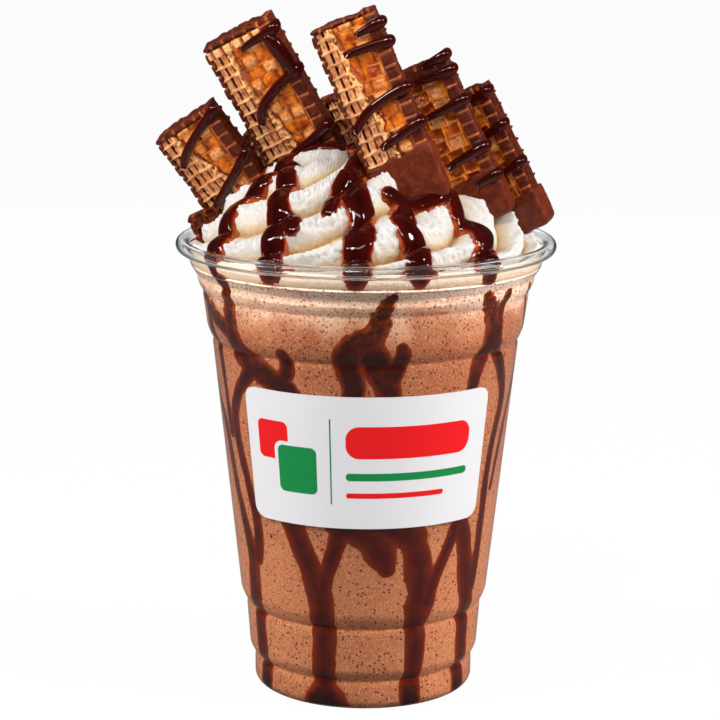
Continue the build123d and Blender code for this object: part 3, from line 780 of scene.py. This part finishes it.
milk = Finish("milk_chocolate")
streak = milk.between(milk.noise(2.2, 5, 0.65), 0.3, 0.75)
shade = milk.mix(streak, (70, 22, 9), (112, 42, 18))
shade = milk.mix(milk.field("dipped") * 0.8, shade, milk.mix(streak, (92, 32, 15), (122, 48, 24)))
worn = milk.between(milk.noise(0.8, 3), 0.62, 0.76)
shade = milk.mix(worn * 0.35, shade, (160, 84, 48))
shade = milk.mix(milk.field("seam"), shade, (236, 124, 56))
milk.surface(
    Base_Color=shade, Specular_IOR_Level=0.28, Roughness=milk.between(streak, 0.0, 1.0, 0.32, 0.44),
    Normal=milk.bump(milk.noise(0.7, 4), 0.10))
baked = Finish("baked_wafer")
crisp = baked.between(baked.noise(1.2, 4, 0.6), 0.3, 0.7)
# The two height fields carry painted shade: the face is darker low down, paler up high and near black in the deep
# slits.
crumb = baked.mix(crisp * 0.3 + baked.field("pale") * 0.7, (182, 76, 30), (255, 198, 138))
crumb = baked.mix(baked.field("toast"), crumb, (255, 190, 116))
crumb = baked.mix(baked.field("slit"), crumb, (52, 18, 8))
baked.surface(
    Base_Color=crumb, Roughness=0.5, Specular_IOR_Level=0.2, Normal=baked.bump(baked.noise(0.45, 3), 0.10))
soft = Finish("soft_caramel")
toffee = soft.mix(soft.between(soft.noise(3.0, 3), 0.3, 0.7), (158, 50, 4), (254, 134, 26))
# Painted shade: the low places are painted toward deep brown.
toffee = soft.mix(soft.field("deep") * 0.85, toffee, (92, 24, 3))
plate = soft.mix(soft.between(soft.noise(0.8, 3), 0.3, 0.7), (212, 116, 52), (255, 184, 110))
toffee = soft.mix(soft.field("thin") * 0.9, toffee, plate)
toffee = soft.mix(soft.field("line") * 0.85, toffee, (255, 156, 62))
soft.surface(
    Base_Color=toffee, Roughness=soft.between(soft.field("thin"), 0.2, 0.8, 0.13, 0.4),
    Normal=soft.bump(soft.noise(1.2, 3), 0.5))

places = {}
for number, (name, (dip, extra, cell_depth, cap, border)) in enumerate(bars.items()):
    place = places[name] = Place(name, dip)
    left, right = -bar_wide / 2, bar_wide / 2 + extra
    low, border = -(place.length - dip) - 0.8, np.array(border).T
    seed = 20 + 10 * number
    faces = [
        ("_coat", coat(place, left, right, bar_thick, place.length, dip, cell_depth, cap, seed), milk, "chocolate"),
        ("_crisp", wafer(place, left, right, low, cap, border, number, seed), baked, "wafer"),
        ("_toffee", caramel(place, right, low, cap, border, number, seed), soft, "caramel")]
    for kind, face, finish, slot in faces:
        piece(name + kind, [face], finish, [name + "_" + slot])

# Drizzle: the same syrup trailed over the standing bars from a spoon. Each line sets as a round
# thread that starts fat on the right edge, wraps over it and thins out across the face.
threads = {  # points of (across, up from the bar's top end, half-width), from the right edge inwards
    "bar_1": [
        [(8.5, -1.8, 1), (5, -3.6, 1), (1, -5, 1), (-4, -7.6, 1), (-6, -10, 0.8)],
        [(9.2, -15.6, 0.9), (5, -18.2, 1.1), (0, -20.4, 1.1), (-6, -23.4, 0.9)]],
    "bar_2": [
        [(10.6, -3.6, 1.2), (7, -4, 1), (3.5, -4.2, 0.9), (1, -4.8, 0.6)],
        [(8.1, -3.9, 1.2), (9.4, -6.6, 1.8), (9.9, -11, 1.9), (10.4, -15, 1.5), (11, -17.6, 0.9)],
        [(11, -15.8, 1.2), (7.4, -16.3, 1.1), (1, -18.7, 1.2), (-2.5, -21.2, 1.1), (-4, -24.5, 0.9)],
        [(11, -32, 1.1), (6, -33.6, 1.2), (0, -34.8, 1.1), (-5.5, -37, 1)]],
    "bar_3": [
        [(8.6, -4.8, 1.1), (5.2, -4.9, 1), (2, -5.4, 0.7)],
        [(8.8, -10, 1.2), (4.7, -9.2, 1.1), (-2.5, -9, 1)],
        [(9, -22, 1.2), (4.2, -22.2, 1.1), (-3, -24, 1.1), (-7.6, -28, 0.9)],
        [(9, -31.2, 1.2), (4.4, -32, 1.2), (-2.6, -33.8, 1)]],
    "bar_4": [
        [(8.8, -0.9, 1.1), (4.8, -1, 0.9), (2.4, -1.2, 0.6)],
        [(8.9, -4.9, 1.1), (4.2, -4.6, 1), (-1.5, -4.2, 0.8)],
        [(8.9, -13, 1.1), (4.2, -13.2, 1), (-2, -13.6, 0.8)],
        [(8.9, -26, 1.1), (4.4, -26.2, 1.1), (-2, -27.2, 0.9)],
        [(8.9, -33.6, 1.1), (5.4, -33.8, 0.9), (3.2, -34.2, 0.7)]],
    "bar_5": [
        [(9.2, -2.4, 1.1), (6, -2.4, 0.9), (3.2, -2.6, 0.7)],
        [(9.2, -11.8, 1.1), (5.4, -12.2, 1), (0.5, -13.4, 0.7)],
        [(9.2, -22.5, 1.1), (6, -22.8, 0.9), (2.5, -23.6, 0.7)]],
    "bar_6": [
        [(8.6, -8, 1), (2, -9, 0.9), (-4, -12, 0.7)]],
    "bar_7": [
        [(8.6, -5, 1), (2, -6, 0.9), (-3, -9, 0.7)]]}


def thread(place, route, edge):
    """A tube along an eased route: circles across it, a little flat on the bar, closed by poles.
    One that starts at the bar's right edge first comes up from the side and over it."""
    route = np.array(route, float)
    across, up, half = route[0]
    from_side = across > edge - 3
    flat = np.insert(route[int(from_side):], 2, 0.35, axis=1)
    wrap = [[edge + 0.35, up + 1.1, -2.6, half * 0.75], [edge + 0.75, up + 0.5, -0.9, half * 1.05],
            [edge + 0.1, up + 0.1, 0.55, half * 1.2]]
    path = eased(np.vstack([wrap, flat]) if from_side else flat, 4)
    line, size = place.put(*path[:, :3].T), path[:, 3]
    line = np.vstack([line[:1], line, line[-1:]])
    size = np.concatenate([[0.0], size * 1.15, [0.0]])
    run = np.gradient(line, axis=0)
    run /= np.linalg.norm(run, axis=1)[:, None]
    size[[1, -2]] *= 0.8
    line[0] -= run[1] * size[1]
    line[-1] += run[-2] * size[-2]
    lead = np.array([0.3, 0, 1.0]) @ np.stack([place.wide, place.long, place.out])
    across = np.cross(run, lead)
    across /= np.linalg.norm(across, axis=1)[:, None]
    rise = np.cross(across, run)
    turn = np.linspace(0, 2 * np.pi, 16, endpoint=False)
    ring = np.cos(turn)[None, :, None] * across[:, None] + 0.85 * np.sin(turn)[None, :, None] * rise[:, None]
    # Painted light: the depth field is low on the side toward the bar and on the flanks, so the syrup paints them a
    # lighter red-brown, a painted glow from the caramel. The top is painted darker.
    points, depth = line[:, None] + ring * size[:, None, None], 0.16 + 0.4 * np.sin(turn).clip(0)
    return patch(points, ring=True, poles=(True, True), turn=True, depth=depth)


for name, routes in threads.items():
    edge = bar_wide / 2 + bars[name][1]
    piece(name + "_drizzle", [thread(places[name], route, edge) for route in routes], syrup)

# Broken end: the foot of one more bar, snapped off and wedged between the lip and the first bar. All
# that shows of it is its chocolate coat with the waffle's square cells.
class Stub(Place):
    """The broken end's own frame: it leans to the left over the lip."""

    def __init__(self):
        sine, cosine = np.sin(np.radians(25)), np.cos(np.radians(25))
        self.wide, self.long = np.array([cosine, 0, sine]), np.array([-sine, 0, cosine])
        self.out = np.array([0, -1.0, 0])
        self.origin = np.array([-42.6, 3.5, 123.9])


box = coat(Stub(), left=-4.5, right=4.5, thick=7.0, length=10.5, dip=0, cell_depth=1.2, cap=0, seed=95)
piece("stub_coat", [box], milk, ["stub_chocolate"])

# Studio: a plain white sweep of floor and backdrop under seven soft lamps. Four small ones in front
# give the glints. The broad ones at the sides and the back light the cup but are not mirrored in it.
sweep_profile = np.vstack([(-2.5, 0), arc((1.2, 0.9), 0.9, -90, 0, 24), (2.1, 3)])
sweep = np.stack([np.insert(sweep_profile, 0, across, axis=1) for across in (-3, 0, 3)], 1)
card = Finish("white_card")
pale = card.mix(card.noise(40, 3), (240, 240, 240), (246, 246, 246))
matt = card.node("ShaderNodeBsdfDiffuse", {"Color": pale})
glow = card.node("ShaderNodeEmission", {"Color": (1, 1, 1, 1)})
path = card.node("ShaderNodeLightPath")
grey = card.node("ShaderNodeBsdfDiffuse", {"Color": tone(96, 96, 96)})
dimmed = card.node("ShaderNodeMixShader", {0: path["Is Glossy Ray"] * 0.9, 1: matt, 2: grey})
unbounced = ((path["Diffuse Depth"] + path["Glossy Depth"]) * -1.0 + 1.0).above(0.0)
seen = path["Is Camera Ray"].above(path["Is Transmission Ray"] * unbounced)
card.out(card.node("ShaderNodeMixShader", {0: seen * 0.95, 1: dimmed, 2: glow}))
floor = meshed("floor", [patch(sweep / MM)], card)

sky = Finish("studio", "World")
way = sky.node("ShaderNodeLightPath")
strength = sky.node("ShaderNodeMix", {"Factor": way["Is Glossy Ray"], "A": 0.2, "B": 0.04})
strength = sky.node("ShaderNodeMix", {"Factor": way["Is Camera Ray"], "A": strength, "B": 0.97})
sky.out(sky.node("ShaderNodeBackground", {"Color": (1, 1, 1, 1), "Strength": strength}))
bpy.context.scene.world = sky.block

lamps = [  # name, place, height on the axis that it is aimed at, size, watts, whether it is mirrored
    ("front_box", (-0.06, -0.30, 0.48), 0.13, (0.09, 0.09), 0.62, True),
    ("left_high", (-0.40, -0.24, 0.56), 0.13, (0.08, 0.08), 0.65, True),
    ("right_high", (0.44, -0.24, 0.54), 0.13, (0.08, 0.08), 0.65, True),
    ("top_strip", (-0.08, -0.36, 0.60), 0.13, (0.60, 0.05), 0.7, True),
    ("left_box", (-0.62, -0.14, 0.36), 0.09, (0.25, 0.60), 3.2, False),
    ("right_box", (0.62, -0.14, 0.32), 0.09, (0.25, 0.60), 4.2, False),
    ("back_box", (0.10, 0.75, 0.45), 0.09, (0.8, 0.6), 2.0, False)]
for name, place, aim, size, watts, mirrored in lamps:
    light = bpy.data.lights.new(name, "AREA")
    light.shape, light.size, light.size_y, light.energy = "RECTANGLE", *size, watts
    made = linked(name, light)
    made.location, made.visible_glossy = place, mirrored
    made.rotation_euler = (Vector((0, 0, aim)) - made.location).to_track_quat("-Z", "Y").to_euler()

lens = bpy.data.cameras.new("camera")
camera = linked("camera", lens)
lens.sensor_width, lens.lens, lens.shift_x, lens.clip_end = 36, 126.8, -0.0072, 10
tilt, roll, distance, target = np.radians(11.8), np.radians(0.43), 0.6602, Vector((0, 0, 0.0859))
camera.location = target + Vector((0, -np.cos(tilt), np.sin(tilt))) * distance
turned = Matrix.Rotation(np.pi / 2 - tilt, 4, "X") @ Matrix.Rotation(roll, 4, "Z")
camera.rotation_euler = turned.to_euler()
bpy.context.scene.camera = camera
bpy.context.scene.view_settings.view_transform = "Standard"
